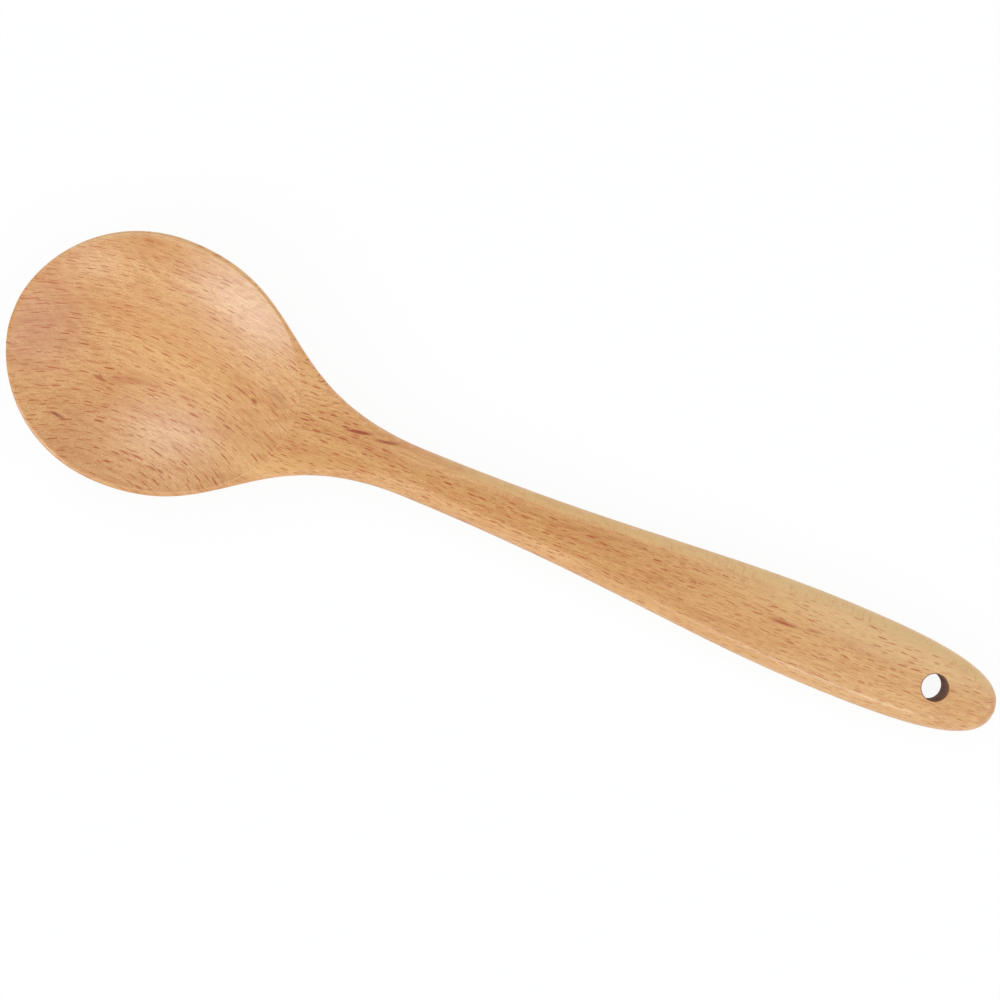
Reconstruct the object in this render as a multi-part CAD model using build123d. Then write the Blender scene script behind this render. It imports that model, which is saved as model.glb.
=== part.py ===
from build123d import *
import math
import os

# A long wooden spoon, carved from one board: a large dished bowl, a teardrop shoulder,
# a slim neck and a grip that widens to a rounded end with a round hanging hole.
# Lengths are millimetres. It is drawn face up in the board's own frame, with the
# bowl's tip at x = 0, the board's upper face at z = 0 and the handle along +X. At the
# end it is laid down on the back of its bowl and the far end of its handle.

# Outline seen from above.
overall_length = 310.0
bowl_width = 75.1
bowl_widest_at = 40.9
neck_width = 15.2
neck_at = 125.0
grip_width = 27.6
grip_widest_from_end = 52.6

# Thickness below the upper face.
bowl_thickness = 16.8
bowl_deepest_at = 44.0
neck_thickness = 11.6
grip_thickness = 10.8

# Rim of the bowl and the softened long edges of the handle.
rim_round = 1.1
rim_band = 1.3
rim_ends_at = 80.0
handle_crown = 0.9
handle_edge_drop = 4.6
handle_edge_width = 5.4
end_round = 4.2

# The dished hollow, and the hanging hole near the end of the handle.
hollow_depth = 11.6
hollow_end_at = 86.9
hole_diameter = 8.0
hole_from_end = 19.8
hole_edge_break = 0.6
cut_overrun = 3.0

# Shapes of the guide curves. Each pair is how far the curve keeps its first and its
# last direction, as a share of the stretch that it spans.
tip_outline_shares = (0.45, 0.63)
shoulder_outline_shares = (0.45, 0.56)
grip_outline_shares = (0.47, 0.32)
end_outline_shares = (0.66, 0.80)
tip_back_shares = (0.40, 0.52)
shoulder_back_shares = (0.42, 0.50)
handle_back_shares = (0.33, 0.33)

# Shapes of a cross-section, in the bowl and in the handle: how far the side keeps
# upright and the back keeps flat, as shares of the quarter that they round. The handle's
# face turns down tightly at its edges, so it keeps its direction for less of the way.
bowl_side_share = 0.30
bowl_back_share = 0.52
handle_side_share = 0.56
handle_back_share = 0.66
quarter_round_share = 0.55
handle_round_share = 0.22
third_share = 1 / 3

# Cross-sections along each stretch of the outline, and the small flat that closes each
# end, as a share of the outline curve's own run.
tip_steps = 14
shoulder_steps = 14
grip_steps = 9
end_steps = 12
end_flat_share = 0.02


def bezier(t, p0, p1, p2, p3):
    """A cubic Bezier coordinate at t, from its four control values."""
    r = 1 - t
    return r ** 3 * p0 + 3 * r * r * t * p1 + 3 * r * t * t * p2 + t ** 3 * p3


def level_curve(start, finish, shares):
    """Control points of a curve that leaves start and reaches finish level."""
    run = finish[0] - start[0]
    lead, trail = shares
    return (start, (start[0] + lead * run, start[1]), (finish[0] - trail * run, finish[1]), finish)


def curve_point(curve, t):
    """The point of a guide curve at t."""
    return bezier(t, *[p[0] for p in curve]), bezier(t, *[p[1] for p in curve])


def curve_value(curves, x):
    """The height of a chain of guide curves above the place x, found by halving."""
    curve = next((c for c in curves if x <= c[3][0]), curves[-1])
    low, high = 0.0, 1.0
    for _ in range(50):
        t = (low + high) / 2
        if curve_point(curve, t)[0] < x:
            low = t
        else:
            high = t
    return curve_point(curve, t)[1]


def ease(x, start, finish):
    """A smooth rise from 0 at start to 1 at finish."""
    t = min(max((x - start) / (finish - start), 0), 1)
    return t * t * (3 - 2 * t)


def nose(distance, radius):
    """The height of a quarter circle of that radius, as a share, at a distance in from its end."""
    near = min(max(distance / radius, 0), 1)
    return math.sqrt(near * (2 - near))


def outline_curves():
    """Half-width of the outline: tip, shoulder, grip and rounded end."""
    tip, back = tip_outline_shares
    lead, fall = end_outline_shares
    half_bowl = bowl_width / 2
    half_neck = neck_width / 2
    half_grip = grip_width / 2
    grip_widest_at = overall_length - grip_widest_from_end
    return [
        ((0, 0), (0, tip * half_bowl), (bowl_widest_at * (1 - back), half_bowl), (bowl_widest_at, half_bowl)),
        level_curve((bowl_widest_at, half_bowl), (neck_at, half_neck), shoulder_outline_shares),
        level_curve((neck_at, half_neck), (grip_widest_at, half_grip), grip_outline_shares),
        ((grip_widest_at, half_grip), (grip_widest_at + lead * grip_widest_from_end, half_grip),
         (overall_length, fall * half_grip), (overall_length, 0)),
    ]


def back_curves():
    """Depth of the back below the upper face: tip, bowl to neck, and handle."""
    rise, keep = tip_back_shares
    fall = bowl_thickness - rim_round
    return [
        ((0, rim_round), (0, rim_round + rise * fall),
         (bowl_deepest_at * (1 - keep), bowl_thickness), (bowl_deepest_at, bowl_thickness)),
        level_curve((bowl_deepest_at, bowl_thickness), (neck_at, neck_thickness), shoulder_back_shares),
        level_curve((neck_at, neck_thickness), (overall_length, grip_thickness), handle_back_shares),
    ]


OUTLINE = outline_curves()
BACK = back_curves()


def section(x):
    """One closed cross-section: crowned face, two rounded shoulders and a rounded back."""
    handle = ease(x, rim_ends_at, neck_at)
    half = curve_value(OUTLINE, x)
    widest = rim_round + handle * (handle_edge_drop - rim_round)
    from_end = overall_length - x
    top = -widest * (1 - min(nose(x, rim_round), nose(from_end, end_round)))
    back = -widest - (curve_value(BACK, x) - widest) * nose(from_end, end_round)
    crown = handle * handle_crown * (widest + top) / widest
    edge = rim_band + handle * (handle_edge_width - rim_band)
    face = half * half / (half + edge)
    side = bowl_side_share + handle * (handle_side_share - bowl_side_share)
    keel = bowl_back_share + handle * (handle_back_share - bowl_back_share)
    turn = quarter_round_share + handle * (handle_round_share - quarter_round_share)
    return section_wire(x, half, face, top, crown, -widest, back, side, keel, turn)


def section_wire(x, half, face, top, crown, widest, back, side, keel, turn):
    """The cross-section's five curves in the plane at x, joined smoothly."""
    joint = top - crown
    out = turn * (half - face)
    slope = 2 * crown / face
    up = quarter_round_share * (joint - widest)
    down = side * (widest - back)
    curves = [Bezier((x, -face, joint), (x, -face * third_share, top + crown * third_share),
                     (x, face * third_share, top + crown * third_share), (x, face, joint))]
    right = [(face, joint), (face + out, joint - out * slope), (half, widest + up), (half, widest)]
    lower = [(half, widest), (half, widest - down), (keel * half, back), (0, back)]
    curves.append(Bezier(*[(x, y, z) for y, z in right]))
    curves.append(Bezier(*[(x, y, z) for y, z in lower]))
    curves.append(Bezier(*[(x, -y, z) for y, z in reversed(lower)]))
    curves.append(Bezier(*[(x, -y, z) for y, z in reversed(right)]))
    return Wire(curves)


def stations():
    """Places of the cross-sections, close together where the outline turns fast."""
    places = [curve_point(OUTLINE[0], end_flat_share)[0]]
    for curve, steps in zip(OUTLINE, (tip_steps, shoulder_steps, grip_steps, end_steps)):
        places += [curve_point(curve, step / steps)[0] for step in range(1, steps + 1)]
    return places[:-1] + [curve_point(OUTLINE[-1], 1 - end_flat_share)[0]]


def carved_board():
    """The whole spoon before its hollow and its hole are cut."""
    return Solid.make_loft([section(x) for x in stations()])


def hollow_halves():
    """The dished hollow: two stretched caps of one sphere that meet at the bowl's widest place."""
    half = bowl_width / 2 - rim_band
    radius = (half ** 2 + hollow_depth ** 2) / (2 * hollow_depth)
    cap = Pos(0, 0, radius - hollow_depth) * Sphere(radius)
    size = 2 * overall_length
    tip_side = Pos(-size / 2, 0, 0) * Box(size, size, size)
    tip_half = scale(cap & tip_side, by=((bowl_widest_at - rim_band) / half, 1, 1), about=(0, 0, 0))
    neck_half = scale(cap - tip_side, by=((hollow_end_at - bowl_widest_at) / half, 1, 1), about=(0, 0, 0))
    return [Pos(bowl_widest_at, 0, 0) * tip_half, Pos(bowl_widest_at, 0, 0) * neck_half]


def laid_down(spoon):
    """The spoon at rest: tipped until bowl and handle end touch, then centred over the floor."""
    foot_at = overall_length - end_round
    tip_angle = math.atan2(bowl_thickness - grip_thickness, foot_at - bowl_deepest_at)
    spoon = Rot(0, math.degrees(tip_angle), 0) * spoon
    box = spoon.bounding_box()
    return Pos(-box.center().X, 0, -box.min.Z) * spoon


def hanging_hole(spoon):
    """The straight hole through the grip, with both of its mouths broken."""
    box = spoon.bounding_box()
    x = box.max.X - hole_from_end
    radius = hole_diameter / 2
    line = spoon & (Pos(x, 0, 0) * Cylinder(hole_edge_break / 2, 2 * overall_length))
    low, high = line.bounding_box().min.Z, line.bounding_box().max.Z
    straight = Pos(x, 0, (low + high) / 2) * Cylinder(radius, high - low + 2 * cut_overrun)
    cone_height = hole_edge_break + cut_overrun
    upper = Pos(x, 0, high - hole_edge_break + cone_height / 2) * Cone(radius, radius + cone_height, cone_height)
    lower = Pos(x, 0, low + hole_edge_break - cone_height / 2) * Cone(radius + cone_height, radius, cone_height)
    return straight + upper + lower


def wooden_spoon():
    """The finished spoon."""
    tip_half, neck_half = hollow_halves()
    spoon = laid_down(carved_board() - tip_half - neck_half)
    return spoon - hanging_hole(spoon)


os.makedirs("parts", exist_ok=True)
export_step(wooden_spoon(), "parts/spoon.step")
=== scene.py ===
"""A carved beech spoon on a white table, seen from above.

The spoon is one piece of wood. Its surface is worked out as arrays in the board's own
frame: x runs from the tip of the bowl to the end of the handle, z is 0 on the board's
upper face. It is then laid down as the model lies, on the back of its bowl and the end
of its handle. Lengths are millimetres until the last step, which gives metres.
"""
from __future__ import annotations

import logging
import math
from collections.abc import Iterable
from dataclasses import dataclass
from enum import Enum

import bmesh
import bpy
import numpy as np
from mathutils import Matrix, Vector

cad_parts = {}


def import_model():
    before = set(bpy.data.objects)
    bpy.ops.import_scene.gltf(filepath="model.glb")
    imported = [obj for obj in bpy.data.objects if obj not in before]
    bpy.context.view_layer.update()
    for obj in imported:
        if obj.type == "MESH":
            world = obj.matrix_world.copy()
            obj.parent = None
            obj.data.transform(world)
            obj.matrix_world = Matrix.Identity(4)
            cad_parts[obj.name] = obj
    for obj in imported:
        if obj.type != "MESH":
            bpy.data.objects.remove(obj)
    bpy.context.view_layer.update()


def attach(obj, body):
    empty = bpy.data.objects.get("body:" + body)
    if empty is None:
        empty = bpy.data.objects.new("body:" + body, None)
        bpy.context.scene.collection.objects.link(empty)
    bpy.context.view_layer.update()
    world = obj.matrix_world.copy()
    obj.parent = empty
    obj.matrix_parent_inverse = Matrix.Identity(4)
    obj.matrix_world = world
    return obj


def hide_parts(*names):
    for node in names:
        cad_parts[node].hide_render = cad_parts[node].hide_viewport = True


LOG = logging.getLogger("spoon")
Array = np.ndarray
Pair = tuple[float, float]
Triple = tuple[float, float, float]
Colour = Triple
Socket = bpy.types.NodeSocket
Grid = tuple[Array, Array, bool]

# A millimetre in metres, then the distances in metres at which points are joined and
# edges are dropped, and a margin in millimetres for comparing places.
MM = 0.001
WELD = 2e-6
SLIVER = 1e-7
MARGIN = 1e-9

# The Mix node's sockets for numbers and for colours, which share their names.
NUMBER_A, NUMBER_B = 2, 3
COLOUR_A, COLOUR_B, COLOUR_OUT = 6, 7, 2


def srgb(red: int, green: int, blue: int) -> Colour:
    """A colour written as on screen, in linear values by the sRGB standard's own curve."""
    parts = np.array([red, green, blue]) / 255
    linear = np.where(parts <= 0.04045, parts / 12.92, ((parts + 0.055) / 1.055) ** 2.4)
    return tuple(float(v) for v in linear)


def ease(values: Array, start: float, finish: float) -> Array:
    """A smooth rise, 3t^2 - 2t^3, from 0 at start to 1 at finish."""
    t = np.clip((values - start) / (finish - start), 0.0, 1.0)
    return t * t * (3.0 - 2.0 * t)


def steps(count: int) -> Array:
    """Shares from 0 to 1 in that many even steps."""
    return np.linspace(0.0, 1.0, count + 1)


def quarter_round(distance: Array, radius: float) -> Array:
    """Height of a quarter circle of that radius, as a share, at a distance in from its end."""
    near = np.clip(distance / radius, 0.0, 1.0)
    return np.sqrt(near * (2.0 - near))


def smooth_least(first: Array, second: Array, reach: float) -> Array:
    """The lesser of two heights, with the corner between them rounded over a reach.

    Where the heights differ by less than the reach, a parabola (reach - difference)^2
    over four reaches is taken off the lesser one.
    """
    near = np.clip(reach - np.abs(first - second), 0.0, None)
    return np.minimum(first, second) - near * near / (4.0 * reach)


def spaced(start: float, finish: float, count: int) -> Array:
    """Places from start to finish, crowded at both ends as the cosine of equal angles."""
    turn = np.linspace(0.0, np.pi, count + 1)
    return start + (finish - start) * (1.0 - np.cos(turn)) / 2.0


def bezier(t: Array, p0: Array, p1: Array, p2: Array, p3: Array) -> Array:
    """A cubic Bezier coordinate: with r as 1 - t, the weights are r^3, 3r^2t, 3rt^2 and t^3."""
    r = 1.0 - t
    return r ** 3 * p0 + 3.0 * r * r * t * p1 + 3.0 * r * t * t * p2 + t ** 3 * p3


def placed(name: str, data: bpy.types.ID) -> bpy.types.Object:
    """A new object in the scene."""
    item = bpy.data.objects.new(name, data)
    bpy.context.scene.collection.objects.link(item)
    return item


@dataclass(frozen=True)
class Guide:
    """A chain of cubic Bezier curves that gives a size at each place along the spoon."""

    curves: tuple[tuple[Pair, ...], ...]
    samples: int = 4000

    def at(self, x: Array) -> Array:
        """The guide's height at each x, read between close samples of its curves."""
        traced = [bezier(steps(self.samples), *np.array(curve)[:, :, None])
                  for curve in self.curves]
        run, rise = np.concatenate(traced, axis=1)
        return np.interp(x, run, rise)


def level_curve(start: Pair, finish: Pair, shares: Pair) -> tuple[Pair, ...]:
    """Control points of a curve that leaves start level and reaches finish level.

    The shares say how far of the run it keeps its first and its last direction.
    """
    run = finish[0] - start[0]
    lead, trail = shares
    return (start, (start[0] + lead * run, start[1]), (finish[0] - trail * run, finish[1]), finish)


def mesh_object(name: str, attribute: str, grids: list[Grid]) -> bpy.types.Object:
    """Make one closed, smooth mesh from grids of points, with a face between each four.

    Equal points are joined, and faces are turned to point outwards.

    Args:
        name: The object's name.
        attribute: The name of the vertex attribute that keeps the mask.
        grids: For each grid its points, as rows by columns by three, their mask, and
            True to turn the faces over.

    Returns:
        The new object.
    """
    faces, count = [], 0
    for grid, _, turned in grids:
        rows, columns = grid.shape[:2]
        index = count + np.arange(rows * columns).reshape(rows, columns)
        corners = [index[:-1, :-1], index[1:, :-1], index[1:, 1:], index[:-1, 1:]]
        quads = np.stack(corners, axis=-1).reshape(-1, len(corners))
        faces.append(quads[:, ::-1] if turned else quads)
        count += rows * columns
    quads = np.concatenate(faces).astype(np.int32)
    points = np.concatenate([grid.reshape(-1, 3) for grid, _, _ in grids])
    masks = np.concatenate([mask.ravel() for _, mask, _ in grids])
    mesh = bpy.data.meshes.new(name)
    mesh.vertices.add(count)
    mesh.vertices.foreach_set("co", points.astype(np.float32).ravel())
    mesh.loops.add(quads.size)
    mesh.loops.foreach_set("vertex_index", quads.ravel())
    mesh.polygons.add(len(quads))
    starts = np.arange(0, quads.size, quads.shape[1], dtype=np.int32)
    mesh.polygons.foreach_set("loop_start", starts)
    kept = mesh.attributes.new(attribute, "FLOAT", "POINT")
    kept.data.foreach_set("value", masks.astype(np.float32))
    mesh.update(calc_edges=True)
    work = bmesh.new()
    work.from_mesh(mesh)
    bmesh.ops.remove_doubles(work, verts=work.verts, dist=WELD)
    bmesh.ops.dissolve_degenerate(work, edges=work.edges, dist=SLIVER)
    bmesh.ops.recalc_face_normals(work, faces=work.faces)
    open_edges = sum(1 for edge in work.edges if len(edge.link_faces) != 2)
    LOG.info("%s: %d faces, %d open edges", name, len(work.faces), open_edges)
    work.to_mesh(mesh)
    work.free()
    mesh.polygons.foreach_set("use_smooth", np.ones(len(mesh.polygons), dtype=bool))
    return placed(name, mesh)


@dataclass(frozen=True)
class Ellipse:
    """An ellipse seen from above, in metres: its centre and its half sizes."""

    centre: Pair
    half: Pair


@dataclass
class CarvedSpoon:
    """The whole spoon: bowl, shoulder, neck and grip, cut from one board.

    Sizes are millimetres. A pair of shares for an outline or a back says how far its
    curve keeps its first and its last direction. A pair for the cross-section's side,
    keel or turn gives the bowl's share and the handle's.
    """

    length: float = 310.0
    bowl_width: float = 75.1
    bowl_widest_at: float = 40.9
    neck_width: float = 15.2
    neck_at: float = 125.0
    grip_width: float = 27.6
    grip_widest_from_end: float = 52.6
    bowl_thickness: float = 16.8
    bowl_deepest_at: float = 44.0
    neck_thickness: float = 11.6
    grip_thickness: float = 10.8
    rim_round: float = 1.1
    rim_band: float = 1.3
    rim_ends_at: float = 80.0
    crown: float = 0.9
    edge_drop: float = 4.6
    edge_width: float = 5.4
    end_round: float = 4.2
    hollow_depth: float = 11.6
    hollow_end_at: float = 86.9
    hole_radius: float = 4.0
    hole_from_end: float = 19.8
    hole_round: float = 0.6
    crease_reach: float = 0.16
    dished_to: float = 2.75
    crease_mask_from: float = 0.97
    flats_from_ends: Pair = (0.019, 0.0228)
    tip_outline_shares: Pair = (0.45, 0.63)
    shoulder_outline_shares: Pair = (0.45, 0.56)
    grip_outline_shares: Pair = (0.47, 0.32)
    end_outline_shares: Pair = (0.66, 0.80)
    tip_back_shares: Pair = (0.40, 0.52)
    shoulder_back_shares: Pair = (0.42, 0.50)
    handle_back_shares: Pair = (0.33, 0.33)
    side_shares: Pair = (0.30, 0.56)
    keel_shares: Pair = (0.52, 0.66)
    turn_shares: Pair = (0.55, 0.22)
    quarter_round_share: float = 0.55
    widest_face_share: float = 0.9995
    least_back_share: float = 0.02
    edge_fade_share: float = 0.5
    run_steps: tuple[int, ...] = (14, 170, 190, 36, 44)
    face_columns: int = 12
    round_columns: int = 11
    back_columns: int = 26
    back_samples: int = 399
    hollow_columns: int = 64
    mouth_rings: int = 7
    wall_rings: int = 5
    edge_mask: str = "edge"
    facing_mask: str = "facing"

    def __post_init__(self) -> None:
        """Work out the guide curves from the sizes."""
        half, neck, grip = self.bowl_width / 2, self.neck_width / 2, self.grip_width / 2
        wide, end = self.bowl_widest_at, self.grip_widest_from_end
        grip_at = self.length - end
        rise, keep = self.tip_outline_shares
        lead, fall = self.end_outline_shares
        self.outline = Guide((
            ((0, 0), (0, rise * half), (wide * (1 - keep), half), (wide, half)),
            level_curve((wide, half), (self.neck_at, neck), self.shoulder_outline_shares),
            level_curve((self.neck_at, neck), (grip_at, grip), self.grip_outline_shares),
            ((grip_at, grip), (grip_at + lead * end, grip),
             (self.length, fall * grip), (self.length, 0)),
        ))
        deep, thick = self.bowl_deepest_at, self.bowl_thickness
        rise, keep = self.tip_back_shares
        neck_back = (self.neck_at, self.neck_thickness)
        self.back = Guide((
            ((0, self.rim_round), (0, self.rim_round + rise * (thick - self.rim_round)),
             (deep * (1 - keep), thick), (deep, thick)),
            level_curve((deep, thick), neck_back, self.shoulder_back_shares),
            level_curve(neck_back, (self.length, self.grip_thickness), self.handle_back_shares),
        ))
        self.hollow_half = self.bowl_width / 2 - self.rim_band
        self.mouth = self.hole_radius + self.hole_round
        self.hole_at = self.length - self.hole_from_end
        foot = self.length - self.end_round - self.bowl_deepest_at
        self.tilt = math.atan2(self.bowl_thickness - self.grip_thickness, foot)
        self.shift = np.zeros(3)

    def hollow_height(self, x: Array, y: Array) -> Array:
        """Height of the dished hollow: a sphere's cap stretched along the spoon.

        With R the sphere's radius and e the share of the way out to the crease, the
        height is R - depth - sqrt(R^2 - (half e)^2), which is 0 on the crease and
        positive past it.
        """
        half = self.hollow_half
        radius = (half ** 2 + self.hollow_depth ** 2) / (2 * self.hollow_depth)
        out = half * np.hypot((x - self.bowl_widest_at) / self.crease_run(x), y / half)
        return radius - self.hollow_depth - np.sqrt(np.clip(radius ** 2 - out ** 2, 0.0, None))

    def crease_run(self, x: Array) -> Array:
        """Distance from the bowl's widest place to the crease, on the side that x is on."""
        return np.where(x < self.bowl_widest_at, self.bowl_widest_at - self.rim_band,
                        self.hollow_end_at - self.bowl_widest_at)

    def crease_half_width(self, x: Array) -> Array:
        """Half-width of the hollow at each x, from the two half ellipses of its crease."""
        out = (x - self.bowl_widest_at) / self.crease_run(x)
        return self.hollow_half * np.sqrt(np.clip(1.0 - out ** 2, 0.0, None))

    def slit(self, x: Array) -> Array:
        """Half-width of the hole's mouth at each x: a circle's half chord."""
        return np.sqrt(np.clip(self.mouth ** 2 - (x - self.hole_at) ** 2, 0.0, None))

    def stations(self) -> Array:
        """Places along the spoon, crowded at the tip, the hollow's ends, the hole and the end."""
        tip, end = self.flats_from_ends
        stops = (tip, self.rim_band, self.hollow_end_at, self.hole_at - self.mouth,
                 self.hole_at + self.mouth, self.length - end)
        runs = [spaced(a, b, n)[:-1] for a, b, n in zip(stops[:-1], stops[1:], self.run_steps)]
        return np.concatenate(runs + [np.array([stops[-1]])])

    def section_sizes(self, x: Array) -> dict[str, Array]:
        """Sizes of the cross-section at each x, blended from the bowl's to the handle's.

        Each has the shape that x has.
        """
        handle = ease(x, self.rim_ends_at, self.neck_at)
        half = self.outline.at(x)
        widest = self.rim_round + handle * (self.edge_drop - self.rim_round)
        end = quarter_round(self.length - x, self.end_round)
        top = -widest * (1.0 - np.minimum(quarter_round(x, self.rim_round), end))
        back = -widest - (self.back.at(x) - widest) * end
        crown = handle * self.crown * (widest + top) / widest
        edge = self.rim_band + handle * (self.edge_width - self.rim_band)
        side, keel, turn = [bowl + handle * (grip - bowl) for bowl, grip in
                            (self.side_shares, self.keel_shares, self.turn_shares)]
        return {"half": half, "face": half * half / (half + edge), "top": top, "crown": crown,
                "widest": -widest, "back": back, "side": side, "keel": keel, "turn": turn}

    def half_section(self, x: Array) -> tuple[Array, Array, Array]:
        """One side of each cross-section, from the middle of the face to that of the back.

        The face is a parabola, the shoulder and the back are cubic Bezier curves. On the
        face the columns start at the edge of the hollow or of the hole, and on the back
        they end at the edge of the hole, so these edges are lines of the grid.

        Returns:
            Arrays of y, of z and of the edge mask: a row for each station, with its
            columns round the section.
        """
        size = self.section_sizes(x[:, None])
        half, face, top, crown = size["half"], size["face"], size["top"], size["crown"]
        widest, back = size["widest"], size["back"]
        mouth = self.slit(x[:, None])
        start = np.maximum(self.crease_half_width(x[:, None]), mouth)
        start = np.minimum(start, face * self.widest_face_share)
        joint = top - crown
        share = steps(self.face_columns)
        face_y = start + (face - start) * share
        face_z = top - crown * (face_y / face) ** 2
        out = size["turn"] * (half - face)
        slope = 2.0 * crown / face
        up = self.quarter_round_share * (joint - widest)
        t = steps(self.round_columns)[1:]
        round_y = bezier(t, face, face + out, half, half)
        round_z = bezier(t, joint, joint - out * slope, widest + up, widest)
        down = size["side"] * (widest - back)
        t = self.back_places(size, mouth)
        back_y = bezier(t, half, half, size["keel"] * half, 0.0 * mouth)
        back_z = bezier(t, widest, widest - down, back, back)
        y = np.concatenate([face_y, round_y, back_y], axis=1)
        z = np.concatenate([face_z, round_z, back_z], axis=1)
        turn = 1.0 - self.edge_fade_share * np.abs(np.linspace(-1.0, 1.0, self.round_columns))
        fall = 1.0 - ease(steps(self.back_columns - 1), 0.0, self.edge_fade_share)
        return y, z, np.concatenate([share, turn, fall]) + 0.0 * start

    def back_places(self, size: dict[str, Array], mouth: Array) -> Array:
        """Curve places on the back for each column, ending where the back meets the hole."""
        t = steps(self.back_samples)
        half = size["half"]
        across = bezier(t, half, half, size["keel"] * half, 0.0 * mouth)
        last = np.array([np.interp(edge, row[::-1], t[::-1])
                         for edge, row in zip(mouth[:, 0], across)])
        return steps(self.back_columns)[1:] * np.maximum(last, self.least_back_share)[:, None]

    def laid_down(self, x: Array, y: Array, z: Array) -> Array:
        """Tip board points about Y until bowl and handle end touch the floor, in millimetres."""
        along = x * math.cos(self.tilt) + z * math.sin(self.tilt)
        up = -x * math.sin(self.tilt) + z * math.cos(self.tilt)
        return np.stack(np.broadcast_arrays(along, y, up), axis=-1)

    def crease(self) -> Ellipse:
        """The crease at the neck end of the hollow, as it lies on the finished spoon."""
        lean = math.cos(self.tilt)
        centre = (self.bowl_widest_at * lean - self.shift[0]) * MM
        reach = (self.hollow_end_at - self.bowl_widest_at) * lean * MM
        return Ellipse((centre, 0.0), (reach, self.hollow_half * MM))

    def hole(self) -> Ellipse:
        """The straight wall of the hanging hole on the finished spoon."""
        drop = self.grip_thickness / 2 * math.sin(self.tilt)
        centre = (self.hole_at * math.cos(self.tilt) - drop - self.shift[0]) * MM
        return Ellipse((centre, 0.0), (self.hole_radius * MM, self.hole_radius * MM))

    def surface(self) -> list[Grid]:
        """The spoon's grids, in metres: two mirrored sides, the hollow and the hole's wall.

        The sides are dished only near the face, so that their back stays whole.
        """
        x = self.stations()
        y, z, near = self.half_section(x)
        wide = x[:, None] + 0.0 * y
        dished = smooth_least(z, self.hollow_height(wide, y), self.crease_reach)
        z = np.where(z > -self.dished_to, dished, z)
        grids = [(self.laid_down(wide, y, z), near, False),
                 (self.laid_down(wide, -y, z), near, True)]
        grids += [self.end_cap(x[row], y[row], z[row]) for row in (0, -1)]
        grids.append(self.hollow_grid(x))
        grids.append(self.hole_grid(x, y, z))
        every = np.concatenate([g[0].reshape(-1, 3) for g in grids])
        low, high = every.min(axis=0), every.max(axis=0)
        self.shift = np.array([(low[0] + high[0]) / 2, 0.0, low[2]])
        return [((points - self.shift) * MM, mask, turned) for points, mask, turned in grids]

    def end_cap(self, x: float, y: Array, z: Array) -> Grid:
        """The small flat that closes an end: its half-section mirrored across the middle."""
        cap_y = np.stack([y, -y], axis=1)
        cap_z = np.stack([z, z], axis=1)
        return self.laid_down(x + 0.0 * cap_y, cap_y, cap_z), np.ones_like(cap_y), False

    def hollow_grid(self, x: Array) -> Grid:
        """The dish of the bowl, crowded at its crease, which it shares with the sides."""
        x = x[(x >= self.rim_band - MARGIN) & (x <= self.hollow_end_at + MARGIN)]
        x = x[:, None]
        size = self.section_sizes(x)
        face = size["face"]
        across = spaced(-1.0, 1.0, self.hollow_columns)
        y = np.minimum(self.crease_half_width(x), face * self.widest_face_share) * across
        wide = x + 0.0 * y
        flat = size["top"] - size["crown"] * (y / face) ** 2
        z = smooth_least(flat, self.hollow_height(wide, y), self.crease_reach)
        near = ease(np.abs(across), self.crease_mask_from, 1.0) + 0.0 * y
        return self.laid_down(wide, y, z), near, False

    def hole_grid(self, x: Array, y: Array, z: Array) -> Grid:
        """The wall of the hanging hole, with both of its mouths rounded over.

        Each column of the wall runs from the mouth on the face down to the mouth on the
        back. Its radius leaves the mouth's radius level and turns down to the straight
        radius, as a quarter circle does.
        """
        pick = np.abs(x - self.hole_at) <= self.mouth + MARGIN
        sides = [(x[pick], 1.0), (y[pick, 0], -1.0), (z[pick, 0], 1.0), (z[pick, -1], 1.0)]
        loop_x, loop_y, loop_top, loop_low = [
            np.concatenate([part, mirror * part[-2:0:-1], part[:1]]) for part, mirror in sides]
        turn = np.linspace(0.0, np.pi / 2, self.mouth_rings)
        drop = self.hole_round * (1.0 - np.cos(turn))
        inward = self.hole_round * np.sin(turn)
        straight = np.full(self.wall_rings, self.hole_radius)
        curved = self.mouth - inward
        share = np.concatenate([curved, straight, curved[::-1]])[:, None] / self.mouth
        wall_x = self.hole_at + (loop_x - self.hole_at) * share
        wall_y = loop_y * share
        upper = loop_top - drop[:, None]
        lower = loop_low + drop[::-1, None]
        down = steps(self.wall_rings + 1)[1:-1, None]
        middle = upper[-1:] + (lower[:1] - upper[-1:]) * down
        wall_z = np.concatenate([upper, middle, lower], axis=0)
        return self.laid_down(wall_x, wall_y, wall_z), 0.0 * wall_x, False

    def build(self, frame: Array) -> bpy.types.Object:
        """Make the spoon's mesh and put it in the scene.

        Args:
            frame: The wood's own directions as rows: along the grain, across its rays and
                along them.

        Returns:
            The spoon, with a mask for its softened edges and a vector attribute that holds
            how squarely the surface faces each of the wood's directions.
        """
        spoon = mesh_object("carved_spoon", self.edge_mask, self.surface())
        normals = np.empty(3 * len(spoon.data.vertices), dtype=np.float32)
        spoon.data.vertices.foreach_get("normal", normals)
        parts = np.abs(normals.reshape(-1, 3) @ frame.T)
        facing = spoon.data.attributes.new(self.facing_mask, "FLOAT_VECTOR", "POINT")
        facing.data.foreach_set("vector", parts.astype(np.float32).ravel())
        return spoon


@dataclass(frozen=True)
class Fade:
    """A smooth change from low to high, as what it follows goes from start to finish."""

    start: float
    finish: float
    low: float = 0.0
    high: float = 1.0


@dataclass(frozen=True)
class Noise:
    """A noise in the wood.

    Its cell is millimetres along the grain, across the rays and deep along them. It shows
    as its number passes through the fade.
    """

    cell: Triple
    shows: Fade = Fade(0.0, 1.0)
    detail: float = 2.0
    roughness: float = 0.5


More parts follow.
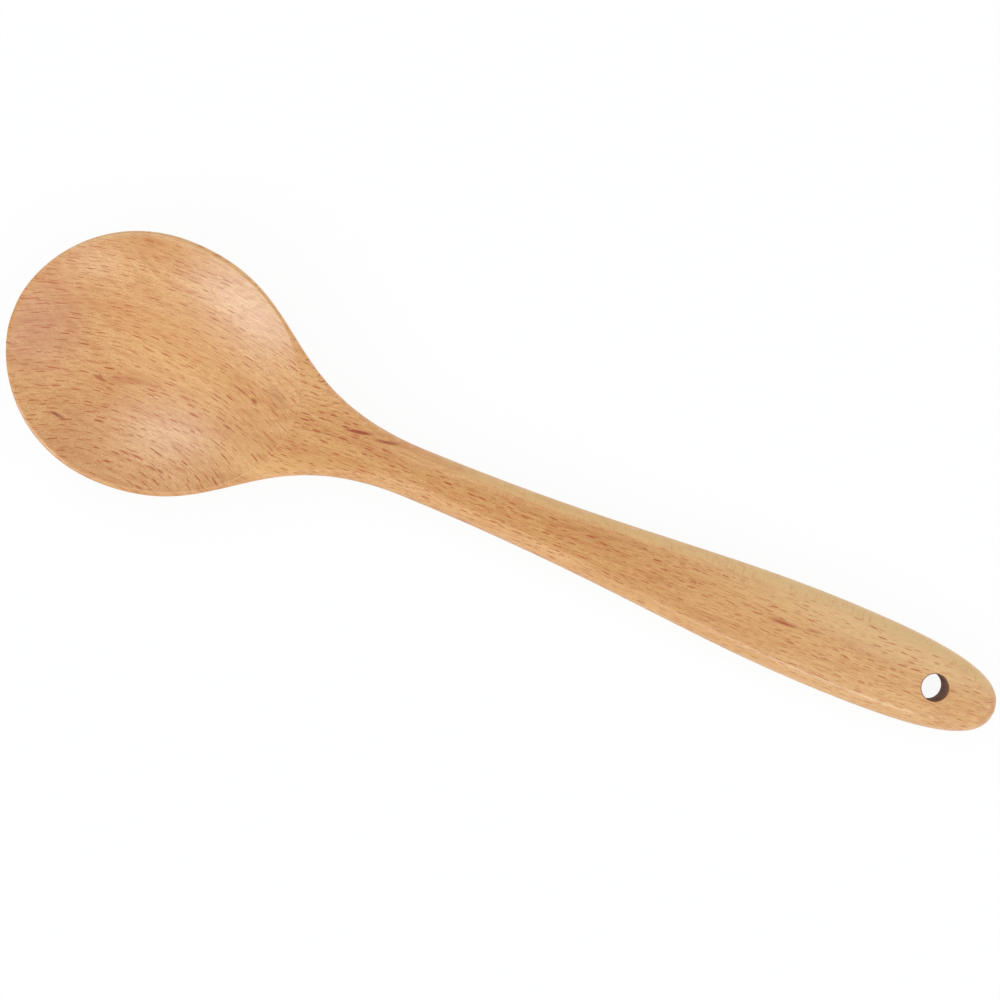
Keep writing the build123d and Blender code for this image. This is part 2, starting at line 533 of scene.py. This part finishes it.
@dataclass(frozen=True)
class Nodes:
    """Makes and joins shader nodes in one tree."""

    tree: bpy.types.NodeTree

    def new(self, kind: str, inputs: dict | None = None, **settings) -> bpy.types.Node:
        """Add a node, set its properties and set or join its inputs.

        Args:
            kind: The node's type name.
            inputs: Input names or numbers, each with a value or an output socket.
            settings: The node's own properties.

        Returns:
            The new node.
        """
        node = self.tree.nodes.new(kind)
        for key, value in settings.items():
            setattr(node, key, value)
        for key, value in (inputs or {}).items():
            socket = node.inputs[key]
            if isinstance(value, bpy.types.NodeSocket):
                self.tree.links.new(value, socket)
            else:
                socket.default_value = (*value, 1.0) if socket.type == "RGBA" else value
        return node

    def math(self, operation: str, *values: object) -> Socket:
        """A Math node's output."""
        return self.new("ShaderNodeMath", dict(enumerate(values)), operation=operation).outputs[0]

    def vector(self, operation: str, *values: object) -> Socket:
        """A Vector Math node's output, which is a number for a length."""
        node = self.new("ShaderNodeVectorMath", dict(enumerate(values)), operation=operation)
        return node.outputs["Value" if operation == "LENGTH" else "Vector"]

    def parts(self, vector: object) -> bpy.types.NodeOutputs:
        """The three parts of a vector."""
        return self.new("ShaderNodeSeparateXYZ", {0: vector}).outputs

    def joined(self, *parts: object) -> Socket:
        """A vector from its parts, in the order x, y and z."""
        return self.new("ShaderNodeCombineXYZ", dict(enumerate(parts))).outputs[0]

    def times(self, *values: object) -> Socket:
        """The product of several numbers."""
        product = values[0]
        for value in values[1:]:
            product = self.math("MULTIPLY", product, value)
        return product

    def ring(self, vector: object, ellipse: Ellipse) -> Socket:
        """How far out a place lies from an ellipse's centre: 1 on the ellipse itself."""
        offset = self.vector("SUBTRACT", vector, (*ellipse.centre, 0.0))
        share = (1.0 / ellipse.half[0], 1.0 / ellipse.half[1], 0.0)
        return self.vector("LENGTH", self.vector("MULTIPLY", offset, share))

    def units(self, vector: object, size: Triple) -> Socket:
        """A place in metres, measured in cells of a size in millimetres."""
        return self.vector("MULTIPLY", vector, tuple(1.0 / (part * MM) for part in size))

    def fade(self, value: object, fade: Fade) -> Socket:
        """A fade's number, as it follows a value."""
        node = self.new("ShaderNodeMapRange", {
            "Value": value, "From Min": fade.start, "From Max": fade.finish,
            "To Min": fade.low, "To Max": fade.high}, interpolation_type="SMOOTHSTEP")
        return node.outputs["Result"]

    def faded(self, *changes: tuple[object, Fade]) -> Socket:
        """The product of several fades, each given after the value that it follows."""
        return self.times(*[self.fade(value, fade) for value, fade in changes])

    def mix(self, factor: object, first: object, second: object, blend: str = "MIX") -> Socket:
        """A colour between two, or between the first and both blended."""
        node = self.new("ShaderNodeMix", {0: factor, COLOUR_A: first, COLOUR_B: second},
                        data_type="RGBA", blend_type=blend)
        return node.outputs[COLOUR_OUT]

    def layered(self, tone: object, layers: Iterable[tuple[Socket, object]]) -> Socket:
        """A colour with others mixed in one after another, each given with its share."""
        for share, colour in layers:
            tone = self.mix(share, tone, colour)
        return tone

    def noise(self, vector: object, noise: Noise) -> Socket:
        """A noise's number at a place in metres."""
        node = self.new("ShaderNodeTexNoise", {
            "Vector": self.units(vector, noise.cell), "Scale": 1.0, "Detail": noise.detail,
            "Roughness": noise.roughness})
        return node.outputs["Fac"]

    def shown(self, vector: object, noise: Noise) -> Socket:
        """How strongly a noise shows at a place in metres."""
        return self.fade(self.noise(vector, noise), noise.shows)


def empty_material(name: str) -> tuple[bpy.types.Material, Nodes]:
    """A new material without nodes, and a node maker for it."""
    material = bpy.data.materials.new(name)
    material.use_nodes = True
    material.node_tree.nodes.clear()
    return material, Nodes(material.node_tree)


@dataclass(frozen=True)
class Rays:
    """One size of the wood's rays: thin plates in the board that show as dashes where cut.

    Lengths are millimetres, in the order along the grain, across the rays and deep along
    them. There is one ray to each cell of the board, scattered in it and bent by a slow
    wobble, and it has a random size and strength. With x, y and z as shares of its half
    sizes, it fills the places where x^2 + y^2 + z^4 is less than 1.
    """

    name: str
    cell: Triple
    half: Triple
    seed: float
    size: Fade = Fade(0.0, 1.0, 0.65, 1.15)
    strength: Fade = Fade(0.1, 0.8, 0.55, 1.0)
    body: Fade = Fade(1.0, 0.6)
    scatter: float = 0.8
    wobble: Triple = (0.4, 0.5, 0.4)
    wobble_scale: float = 0.6

    def group(self) -> bpy.types.NodeTree:
        """The group that turns a place in the grain into the strength of its ray.

        Its Breadth makes the rays thicker than their half size across.
        """
        tree = bpy.data.node_groups.new(self.name, "ShaderNodeTree")
        for label, way, kind in (("Vector", "INPUT", "Vector"), ("Breadth", "INPUT", "Float"),
                                 ("Strength", "OUTPUT", "Float")):
            tree.interface.new_socket(label, in_out=way, socket_type=f"NodeSocket{kind}")
        nodes = Nodes(tree)
        source = nodes.new("NodeGroupInput").outputs
        cells = nodes.units(source["Vector"], self.cell)
        place = nodes.vector("ADD", cells, (self.seed,) * 3)
        slow = nodes.new("ShaderNodeTexNoise", {
            "Vector": place, "Scale": self.wobble_scale, "Detail": 1.0})
        shift = nodes.vector("SUBTRACT", slow.outputs["Color"], (0.5, 0.5, 0.5))
        bent = nodes.vector("ADD", place, nodes.vector("MULTIPLY", shift, self.wobble))
        cell = nodes.new("ShaderNodeTexVoronoi", {
            "Vector": bent, "Scale": 1.0, "Randomness": self.scatter},
            voronoi_dimensions="3D", feature="F1")
        offset = nodes.vector("SUBTRACT", bent, cell.outputs["Position"])
        stretch = tuple(c / h for c, h in zip(self.cell, self.half))
        along, across, deep = nodes.parts(nodes.vector("MULTIPLY", offset, stretch))
        thin = nodes.math("DIVIDE", across, source["Breadth"])
        distance = nodes.vector("LENGTH", nodes.joined(along, thin, nodes.times(deep, deep)))
        random = nodes.new("ShaderNodeSeparateColor", {0: cell.outputs["Color"]})
        share = nodes.math("DIVIDE", distance, nodes.fade(random.outputs[0], self.size))
        strength = nodes.faded((share, self.body), (random.outputs[1], self.strength))
        nodes.new("NodeGroupOutput", {"Strength": strength})
        return tree


class MarkTone(Enum):
    """Colours of the wood's single marks and broad patches; a grey mark and a pale patch also
    paint shade and sheen in the hollow.
    """

    BROWN = srgb(160, 90, 54)
    RUST = srgb(158, 54, 0)
    RED = srgb(178, 92, 42)
    GREY = srgb(158, 112, 80)
    PALE = srgb(244, 190, 122)


@dataclass(frozen=True)
class Streak:
    """A single spindle-shaped mark or patch that runs between two places on the spoon.

    The places, the half breadth across it and the half depth into the wood are
    millimetres. It is even up to the share of its half size that its core gives, and
    fades from there.
    """

    start: Triple
    finish: Triple
    breadth: float
    tone: MarkTone
    strength: float
    core: float = 0.2
    depth: float = 3.0


BROWN, RUST, RED, GREY, PALE = MarkTone

# Broad, soft patches of tone, which lie under the flecks, and then single marks, which
# lie over them. One pale patch paints sheen and one grey mark paints shade in the hollow.
PATCHES = tuple(Streak(*row) for row in (
    ((-160.0, -8.0, 18.0), (-126.0, 5.0, 9.0), 15.0, RED, 0.4, 0.0, 20.0),
    ((-141.9, -23.4, 16.4), (-106.5, -30.7, 13.6), 12.0, RED, 0.22, 0.0, 20.0),
    ((-135.0, 1.0, 8.0), (-80.0, 5.0, 9.0), 15.0, PALE, 0.25, 0.0, 20.0),
    # This patch lightens the lower wall of the hollow, where it is painted sheen, and the shoulder
    # beside it.
    ((-98.0, -20.0, 11.0), (-42.0, -5.5, 15.4), 6.0, PALE, 0.5, 0.0, 12.0),
))
STREAKS = tuple(Streak(*row) for row in (
    ((-129.4, -9.2, 7.9), (-122.8, -9.9, 6.9), 0.5, RED, 0.85, 0.3),
    ((-127.4, -8.5, 7.4), (-125.3, -8.8, 7.0), 0.2, RUST, 0.7, 0.4),
    ((-128.8, -10.0, 7.4), (-107.3, -4.2, 5.5), 1.5, RED, 0.5, 0.0),
    ((-134.9, -23.6, 13.6), (-129.0, -24.5, 12.3), 0.38, BROWN, 0.75, 0.3),
    ((-134.8, -23.6, 13.6), (-131.6, -24.2, 12.9), 0.2, RUST, 0.7, 0.3),
    ((-112.5, -21.4, 9.1), (-109.2, -21.3, 9.1), 0.35, RED, 0.5, 0.0),
    ((-90.2, 4.1, 7.9), (-82.0, 1.8, 10.0), 0.32, RED, 0.85, 0.3),
    ((-82.8, 2.0, 9.8), (-79.6, 1.2, 10.8), 0.55, RED, 0.95, 0.4),
    ((-87.6, -8.1, 8.9), (-83.9, -8.8, 10.1), 0.34, RED, 0.9, 0.4),
    # This grey mark darkens the hollow's wall at its neck end: painted shade.
    ((-81.0, 8.6, 11.0), (-69.5, 1.8, 15.0), 2.2, GREY, 0.3, 0.0, 5.0),
    ((-151.2, 5.1, 16.5), (-148.8, 5.4, 15.1), 0.4, RED, 0.6, 0.4),
    ((-148.4, 4.9, 14.8), (-146.0, 5.2, 13.5), 0.4, RED, 0.6, 0.4),
    ((-155.2, -3.3, 17.9), (-147.2, -0.9, 13.9), 1.0, RED, 0.35, 0.0),
    ((-53.9, 4.0, 15.5), (-43.7, 5.4, 15.3), 0.5, RUST, 0.95, 0.4),
    ((-46.0, 4.1, 15.3), (-33.5, 5.2, 15.0), 0.45, RUST, 0.85, 0.3),
    ((-67.5, -0.9, 15.9), (-51.7, 1.7, 15.5), 0.22, RUST, 0.45),
    ((15.0, 6.7, 14.0), (17.2, 7.1, 13.9), 0.5, RUST, 0.6),
    ((42.1, 8.0, 13.3), (44.2, 8.3, 13.3), 0.5, GREY, 0.7),
    ((49.4, 7.7, 13.2), (52.5, 8.2, 13.1), 0.4, RUST, 0.6),
    ((39.9, 4.7, 13.4), (42.2, 4.7, 13.3), 0.3, RUST, 0.6),
    ((79.0, 0.3, 12.5), (93.6, 1.0, 12.2), 0.75, RED, 0.8, 0.1),
    ((82.5, 0.3, 12.4), (91.6, 0.7, 12.2), 0.32, RUST, 0.7),
    ((90.5, 0.8, 12.2), (101.0, 2.4, 12.0), 0.55, RED, 0.6, 0.0),
    ((88.5, -4.1, 12.3), (92.9, -3.9, 12.2), 0.38, RUST, 0.7),
    ((113.6, 10.3, 11.7), (116.2, 9.9, 11.6), 0.4, RED, 0.6, 0.1),
    ((135.8, 7.6, 11.2), (138.5, 7.6, 11.1), 0.35, RED, 0.6, 0.1),
))


@dataclass(frozen=True)
class Spot:
    """Measures of the place that is being shaded, as node outputs.

    The side is metres across the spoon from the middle of the handle's dark face. The
    facing's parts say how squarely the surface faces each of the wood's directions. The
    edge, the crease's line, all that lies past it and the handle are masks.
    """

    place: Socket
    along: Socket
    side: Socket
    facing: bpy.types.NodeOutputs
    edge: Socket
    line: Socket
    past: Socket
    handle: Socket
    grain: Socket
    waved: Socket
    fibre: Socket


@dataclass(frozen=True)
class Beech:
    """Steamed beech, sanded and lightly oiled.

    The grain runs along the spoon. The rays lie in planes along the grain that lean over
    from the board's upright, so tones and dashes bend where the dish of the bowl cuts them.
    Each fade is named for what it makes and for what it follows: metres along or across
    the spoon, or how squarely the surface faces across the rays.
    """

    pale: Colour = srgb(238, 186, 126)
    base: Colour = srgb(224, 166, 102)
    warm: Colour = srgb(205, 133, 74)
    # A darker tone for the handle's face; past the crease it also paints shade on the shoulder
    # beside the hollow.
    heart_and_shade: Colour = (0.86, 0.79, 0.60)
    quarter: Colour = srgb(230, 192, 129)
    # A paler pink: painted light and highlight on the handle's lower side, and a painted highlight
    # on the crease's line.
    painted_light_pink: Colour = srgb(228, 172, 116)
    gold: Colour = srgb(226, 188, 132)
    bowl_fleck: Colour = srgb(182, 78, 6)
    handle_fleck: Colour = srgb(175, 70, 0)
    # A dark brown laid on the wall of the hanging hole.
    dark_hole_wall: Colour = srgb(126, 70, 30)
    lean: float = math.radians(40.0)
    shortened_from: float = -0.068
    shortened_by: float = 0.15

    # Broad tones, growth rings, bands, fibres, pores and the short rungs across the grain.
    wave: Noise = Noise((45.0, 12.0, 30.0), detail=1.0)
    wave_push: float = 0.003
    broad: Noise = Noise((75.0, 7.5, 24.0), Fade(0.32, 0.68))
    rings: Noise = Noise((70.0, 22.0, 3.4), Fade(0.48, 0.68, 0.0, 0.3))
    years: Noise = Noise((60.0, 16.0, 0.75), Fade(0.48, 0.66, 0.0, 0.35))
    bands: Noise = Noise((26.0, 1.5, 9.0), Fade(0.46, 0.7, 0.0, 0.65), 3.0, 0.6)
    fibre: Noise = Noise((6.0, 0.3, 2.4), Fade(0.48, 0.67, 0.0, 0.8), 3.0, 0.62)
    fibre_pale: Fade = Fade(0.5, 0.32, 0.0, 0.6)
    pores: Noise = Noise((0.5, 0.24, 0.4), Fade(0.46, 0.68, 0.0, 0.7))
    rungs: Noise = Noise((0.5, 3.0, 2.6), Fade(0.52, 0.62))
    rung_places: Noise = Noise((9.0, 3.0, 4.0), Fade(0.4, 0.55), 1.0)

    # Where the handle, its figure, its darker face and its paler bands come in. The last
    # one follows how squarely a surface faces along the grain.
    handle_along: Fade = Fade(-0.035, -0.005)
    figure_along: Fade = Fade(-0.08, 0.03, 0.65, 1.0)
    side_along: Fade = Fade(0.03, 0.12, 0.0, 0.004)
    # Its step at the crease paints shade on the shoulder beside the hollow.
    heart_and_shade_along: Fade = Fade(-0.07, 0.0, 0.6, 1.0)
    heart_to_end: Fade = Fade(0.03, 0.1, 1.0, 0.45)
    heart_across: Fade = Fade(0.004, 0.012, 1.0, 0.35)
    heart_facing: Fade = Fade(0.3, 0.5)
    heart_turned: Fade = Fade(0.86, 0.78)
    # Where the handle's lower side is painted paler and pinker, as painted light.
    painted_light_facing: Fade = Fade(0.35, 0.05, 0.0, 0.3)
    quarter_facing: Fade = Fade(0.84, 0.95, 0.0, 0.6)
    gold_along: Fade = Fade(0.0, 0.12, 0.0, 0.7)
    gold_across: Fade = Fade(0.002, 0.014, 0.35, 1.0)
    end_facing: Fade = Fade(0.3, 0.9, 0.0, 0.5)

    # The rays, and where they thin out.
    rays: Rays = Rays("bold_rays", (4.7, 1.3, 9.0), (1.9, 0.14, 5.2), 3.3)
    hairs: Rays = Rays("fine_rays", (4.2, 0.8, 7.0), (1.7, 0.08, 3.6), 31.7)
    hair_strength: float = 0.75
    bold_along: Fade = Fade(0.02, 0.08, 0.95, 0.82)
    broader_past: Fade = Fade(0.0, 1.0, 1.0, 1.25)
    narrower_along: Fade = Fade(-0.02, 0.06, 0.0, 0.25)
    bare_facing: Fade = Fade(0.74, 0.9, 0.0, 0.9)
    bare_along: Fade = Fade(-0.075, -0.045)
    rung_facing: Fade = Fade(0.78, 0.88, 0.0, 0.45)
    rung_fewer: Fade = Fade(1.0, 0.95, 0.3, 1.0)
    patches: tuple[Streak, ...] = PATCHES
    streaks: tuple[Streak, ...] = STREAKS

    # The crease's painted highlight, the rim's painted light and shade, and the hole's darker
    # wall. "Out" is a share of the hollow's or the hole's half size, from the crease or from the
    # hole's centre. The height is metres.
    upper_height: Fade = Fade(0.010, 0.012)
    line_out: Fade = Fade(0.008, 0.001, 0.0, 0.28)
    past_out: Fade = Fade(-0.005, 0.005)
    under_along: Fade = Fade(-0.085, -0.055)
    rim_along: Fade = Fade(-0.09, -0.07, 0.35, 0.0)
    # The rim's painted shade on its low side and painted light on its upper side.
    rim_shade_across: Fade = Fade(0.01, -0.02)
    rim_light_across: Fade = Fade(0.01, 0.03)
    dark_hole_wall_out: Fade = Fade(1.1, 1.01, 0.0, 0.92)

    # The satin gloss and the fine relief.
    roughness: float = 0.24
    fibre_roughness: float = 0.16
    dark_hole_wall_roughness: float = 0.55
    worn_facing: Fade = Fade(0.5, 0.4, 0.0, 0.1)
    specular: float = 0.9
    fibre_relief: float = 0.6
    ray_relief: float = 0.5
    relief: float = 0.22
    relief_depth: float = 0.0002

    def frame(self) -> Array:
        """The wood's directions as rows: along the grain, across the rays and deep along them."""
        cos, sin = math.cos(self.lean), math.sin(self.lean)
        return np.array([[1.0, 0.0, 0.0], [0.0, cos, sin], [0.0, -sin, cos]])

    def grain(self, nodes: Nodes, place: Socket) -> Socket:
        """A place in the wood's own frame: along the grain, across the rays, deep along them.

        Past the neck the pattern is pressed together along the grain, as the handle's
        dashes are shorter than the bowl's.
        """
        along, across, up = nodes.parts(place)
        past = nodes.math("MAXIMUM", nodes.math("SUBTRACT", along, self.shortened_from), 0.0)
        pressed = nodes.math("ADD", along, nodes.times(past, self.shortened_by))
        turned = nodes.new("ShaderNodeVectorRotate", {
            "Vector": nodes.joined(pressed, across, up), "Axis": (1, 0, 0),
            "Angle": -self.lean}, rotation_type="AXIS_ANGLE")
        return turned.outputs[0]

    def waved(self, nodes: Nodes, grain: Socket) -> Socket:
        """The place in the grain, pushed a little across the rays, as grain wavers."""
        push = nodes.times(nodes.noise(grain, self.wave), self.wave_push)
        return nodes.vector("ADD", grain, nodes.joined(0.0, push))

    def spot(self, nodes: Nodes, spoon: CarvedSpoon) -> Spot:
        """Measure the place that is being shaded, from the spoon's own coordinates and masks."""
        place = nodes.new("ShaderNodeTexCoord").outputs["Object"]
        along, across, _ = nodes.parts(place)
        edge = nodes.new("ShaderNodeAttribute", attribute_name=spoon.edge_mask)
        facing = nodes.new("ShaderNodeAttribute", attribute_name=spoon.facing_mask)
        line, past = self.crease_masks(nodes, place, spoon.crease())
        grain = self.grain(nodes, place)
        waved = self.waved(nodes, grain)
        side = nodes.math("ADD", across, nodes.fade(along, self.side_along))
        return Spot(place, along, side, nodes.parts(facing.outputs["Vector"]),
                    edge.outputs["Fac"], line, past, nodes.fade(along, self.handle_along),
                    grain, waved, nodes.noise(waved, self.fibre))

    def material(self, name: str, spoon: CarvedSpoon) -> bpy.types.Material:
        """The wood's material: broad tones, fibres, rays and single marks.

        Args:
            name: The material's name.
            spoon: The finished spoon, which names its masks and places its crease and hole.

        Returns:
            The new material.
        """
        wood, nodes = empty_material(name)
        spot = self.spot(nodes, spoon)
        breadth = nodes.math("SUBTRACT", nodes.fade(spot.past, self.broader_past),
                             nodes.fade(spot.along, self.narrower_along))
        bold, fine = [nodes.new("ShaderNodeGroup", {"Vector": spot.waved, "Breadth": breadth},
                                node_tree=rays.group()).outputs["Strength"]
                      for rays in (self.rays, self.hairs)]
        # A darker tone on the wall of the hanging hole.
        dark_hole_wall_share = nodes.fade(nodes.ring(spot.place, spoon.hole()), self.dark_hole_wall_out)
        tone = self.wood_tone(nodes, spot)
        tone = self.formed_tone(nodes, spot, tone)
        tone = nodes.layered(tone, self.marked(nodes, spot.grain, self.patches))
        tone = self.flecked_tone(nodes, spot, tone, bold, fine)
        tone = nodes.layered(tone, self.marked(nodes, spot.grain, self.streaks))
        # The rim is darkened on its low side as painted shade and lightened on its upper side as
        # painted light.
        rim = nodes.times(spot.edge, nodes.fade(spot.along, self.rim_along))
        tone = nodes.layered(tone, [
            (nodes.times(rim, nodes.fade(spot.side, self.rim_shade_across)), self.warm),
            (nodes.times(rim, nodes.fade(spot.side, self.rim_light_across)), self.gold),
            # The crease's thin line gets a painted pink highlight.
            (spot.line, self.painted_light_pink), (dark_hole_wall_share, self.dark_hole_wall)])
        height = nodes.math("SUBTRACT", nodes.times(spot.fibre, self.fibre_relief),
                            nodes.times(bold, self.ray_relief))
        bump = nodes.new("ShaderNodeBump", {
            "Height": height, "Strength": self.relief, "Distance": self.relief_depth})
        shader = nodes.new("ShaderNodeBsdfPrincipled", {
            "Base Color": tone, "Roughness": self.roughened(nodes, spot, dark_hole_wall_share),
            "Normal": bump.outputs[0], "Specular IOR Level": self.specular})
        nodes.new("ShaderNodeOutputMaterial", {"Surface": shader.outputs[0]})
        return wood

    def crease_masks(self, nodes: Nodes, place: Socket, crease: Ellipse) -> tuple[Socket, Socket]:
        """The share of painted highlight, a pale pink, on the thin line of the crease, and a mask
        for all past it.
        """
        along, _, up = nodes.parts(place)
        out = nodes.math("SUBTRACT", nodes.ring(place, crease), 1.0)
        upper = nodes.fade(up, self.upper_height)
        line = nodes.times(nodes.fade(nodes.math("ABSOLUTE", out), self.line_out), upper)
        past = nodes.new("ShaderNodeMix", {0: upper, NUMBER_A: nodes.fade(along, self.under_along),
                                           NUMBER_B: nodes.fade(out, self.past_out)})
        return line, past.outputs[0]

    def wood_tone(self, nodes: Nodes, spot: Spot) -> Socket:
        """The wood's colour without rays: broad tones, growth rings, bands, fibres and pores.

        The bands and the dark fibres show most in the handle.
        """
        figure = nodes.fade(spot.along, self.figure_along)
        dark = nodes.fade(spot.fibre, self.fibre.shows)
        tone = nodes.mix(nodes.shown(spot.waved, self.broad), self.base, self.pale)
        return nodes.layered(tone, [
            (nodes.shown(spot.waved, self.rings), self.warm),
            (nodes.shown(spot.waved, self.years), self.warm),
            (nodes.times(nodes.shown(spot.waved, self.bands), figure), self.warm),
            (nodes.times(dark, figure), self.warm),
            (nodes.fade(spot.fibre, self.fibre_pale), self.pale),
            (nodes.shown(spot.waved, self.pores), self.warm)])

    def formed_tone(self, nodes: Nodes, spot: Spot, tone: Socket) -> Socket:
        """The tones that follow the spoon's form.

        The handle's face is darker than the bowl, most past the neck and least at the end.
        One side of the handle is painted paler and pinker, as painted light and highlight there;
        the other is paler and golden, and ends are warm.
        """
        along, facing = spot.along, spot.facing[1]
        face = nodes.faded((facing, self.heart_facing), (facing, self.heart_turned),
                           (nodes.math("ABSOLUTE", spot.side), self.heart_across))
        share = nodes.faded((along, self.heart_and_shade_along), (along, self.heart_to_end))
        # Past the crease the darker face starts at once, which paints shade on the shoulder beside
        # the hollow.
        dark = nodes.times(face, spot.past, share)
        tone = nodes.mix(dark, tone, self.heart_and_shade, "MULTIPLY")
        return nodes.layered(tone, [
            (nodes.times(nodes.fade(facing, self.painted_light_facing), spot.handle), self.painted_light_pink),
            (nodes.times(nodes.fade(facing, self.quarter_facing), spot.handle), self.quarter),
            (nodes.faded((along, self.gold_along), (spot.side, self.gold_across)), self.gold),
            (nodes.fade(spot.facing[0], self.end_facing), self.warm)])

    def flecked_tone(self, nodes: Nodes, spot: Spot, tone: Socket, bold: Socket,
                     fine: Socket) -> Socket:
        """The colour with its ray flecks, and short rungs where a surface lies along the rays."""
        along, facing = spot.along, spot.facing[1]
        bare = nodes.faded((facing, self.bare_facing), (along, self.bare_along))
        kept = nodes.math("SUBTRACT", 1.0, bare)
        fleck = nodes.mix(spot.past, self.bowl_fleck, self.handle_fleck)
        ladder = nodes.times(
            nodes.shown(spot.waved, self.rungs), nodes.shown(spot.waved, self.rung_places),
            nodes.faded((facing, self.rung_facing), (facing, self.rung_fewer)), spot.handle)
        return nodes.layered(tone, [
            (nodes.times(fine, kept, self.hair_strength), fleck),
            (nodes.times(bold, kept, nodes.fade(along, self.bold_along)), fleck),
            (ladder, self.warm)])

    def roughened(self, nodes: Nodes, spot: Spot, dark_hole_wall_share: Socket) -> Socket:
        """Roughness: more on fibres and on the hole's darker wall, less on the handle's worn side.
        """
        rough = nodes.math("ADD", nodes.times(spot.fibre, self.fibre_roughness), self.roughness)
        rough = nodes.math("ADD", rough, nodes.times(dark_hole_wall_share, self.dark_hole_wall_roughness))
        worn = nodes.times(nodes.fade(spot.facing[1], self.worn_facing), spot.handle)
        return nodes.math("SUBTRACT", rough, worn)

    def in_grain(self, place: Triple) -> Vector:
        """A place on the spoon in millimetres, as metres in the wood's own frame."""
        x, y, z = (part * MM for part in place)
        along = x + self.shortened_by * max(x - self.shortened_from, 0.0)
        return Vector(self.frame() @ np.array([along, y, z]))

    def marked(self, nodes: Nodes, grain: Socket,
               streaks: Iterable[Streak]) -> list[tuple[Socket, Colour]]:
        """The share and the colour of each mark, which fades outwards between its two ends."""
        layers = []
        for streak in streaks:
            start, finish = self.in_grain(streak.start), self.in_grain(streak.finish)
            run = finish - start
            mapped = nodes.new("ShaderNodeMapping", {
                "Vector": grain, "Location": (start + finish) / 2,
                "Rotation": run.to_track_quat("X", "Z").to_euler(),
                "Scale": (run.length / 2, streak.breadth * MM, streak.depth * MM)},
                vector_type="TEXTURE")
            share = nodes.fade(nodes.vector("LENGTH", mapped.outputs[0]),
                               Fade(1.0, streak.core, 0.0, streak.strength))
            layers.append((share, streak.tone.value))
        return layers


# Colours of light, and the strength of the surroundings.
WHITE = (1.0, 1.0, 1.0)
DAYLIGHT = (0.84, 0.95, 1.0)
SKYLIGHT = (0.74, 0.91, 1.0)
WORLD_STRENGTH = 0.58


@dataclass(frozen=True)
class Table:
    """A plain white table top, which the camera sees nearly white and with a faint shadow."""

    size: float = 6.0
    colour: Colour = (0.96, 0.96, 0.96)
    glow: float = 0.93

    def build(self) -> None:
        """Lay the table at z = 0."""
        half = self.size / 2
        corners = [(-half, -half, 0.0), (half, -half, 0.0), (half, half, 0.0), (-half, half, 0.0)]
        mesh = bpy.data.meshes.new("table_top")
        mesh.from_pydata(corners, [], [(0, 1, 2, 3)])
        mesh.materials.append(self.material())
        top = placed("table_top", mesh)

    def material(self) -> bpy.types.Material:
        """Matt white paint, with even white mixed in for the camera and for reflections."""
        paint, nodes = empty_material("white_table")
        matt = nodes.new("ShaderNodeBsdfDiffuse", {"Color": self.colour})
        white = nodes.new("ShaderNodeEmission", {"Color": WHITE, "Strength": 1.0})
        ray = nodes.new("ShaderNodeLightPath").outputs
        seen = nodes.math("MAXIMUM", ray["Is Glossy Ray"], ray["Is Transmission Ray"])
        seen = nodes.math("MAXIMUM", ray["Is Camera Ray"], seen)
        both = nodes.new("ShaderNodeMixShader", {
            0: nodes.times(seen, self.glow), 1: matt.outputs[0], 2: white.outputs[0]})
        nodes.new("ShaderNodeOutputMaterial", {"Surface": both.outputs[0]})
        return paint


@dataclass(frozen=True)
class Lamp:
    """A soft rectangular lamp, level from side to side, that faces the spoon."""

    name: str
    place: Triple
    width: float
    height: float
    watts: float
    colour: Colour = WHITE

    def build(self) -> None:
        """Add the lamp, turned to face the origin."""
        data = bpy.data.lights.new(self.name, "AREA")
        data.shape = "RECTANGLE"
        data.size = self.width
        data.size_y = self.height
        data.energy = self.watts
        data.color = self.colour
        lamp = placed(self.name, data)
        lamp.location = self.place
        lamp.rotation_euler = (-Vector(self.place)).to_track_quat("-Z", "Y").to_euler()


LAMPS = (
    Lamp("top_lamp", (-0.95, 1.03, 1.86), 0.9, 0.9, 9.2, DAYLIGHT),
    Lamp("side_lamp", (-1.14, -1.47, 1.12), 1.15, 0.95, 16.5, SKYLIGHT),
    Lamp("fill_lamp", (1.80, 0.12, 1.58), 1.8, 1.8, 13.0),
    Lamp("edge_lamp", (0.282, -0.538, 0.58), 0.3, 0.2, 0.5, DAYLIGHT),
)


@dataclass(frozen=True)
class OverheadCamera:
    """A camera that looks straight down, turned so that the handle runs down to the right.

    Its span is the width that it sees at its focus height, in metres.
    """

    turn: float = math.radians(22.4)
    height: float = 0.62
    focus_height: float = 0.012
    span: float = 0.2922
    sensor: float = 36.0
    centre: Pair = (-0.00351, 0.00226)

    def build(self) -> None:
        """Add the camera and make it the scene's own."""
        data = bpy.data.cameras.new("overhead_camera")
        data.sensor_width = self.sensor
        data.lens = self.sensor * (self.height - self.focus_height) / self.span
        camera = placed("overhead_camera", data)
        camera.location = (*self.centre, self.height)
        camera.rotation_euler = (0.0, 0.0, self.turn)
        bpy.context.scene.camera = camera


def light_world(strength: float) -> None:
    """Fill the surroundings with even white light."""
    world = bpy.data.worlds.new("studio")
    world.use_nodes = True
    background = world.node_tree.nodes["Background"]
    background.inputs["Color"].default_value = (*WHITE, 1.0)
    background.inputs["Strength"].default_value = strength
    bpy.context.scene.world = world


def main() -> None:
    """Build the spoon, its wood, the table, the lamps and the camera, in that order."""
    logging.basicConfig(level=logging.INFO, format="%(name)s: %(message)s")
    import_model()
    wood = Beech()
    carved = CarvedSpoon()
    spoon = carved.build(wood.frame())
    spoon.data.materials.append(wood.material("beech", carved))
    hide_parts("spoon")
    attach(spoon, "root")
    LOG.info("spoon built")
    Table().build()
    for lamp in LAMPS:
        lamp.build()
    light_world(WORLD_STRENGTH)
    OverheadCamera().build()
    bpy.context.scene.view_settings.view_transform = "Standard"


if __name__ == "__main__":
    main()
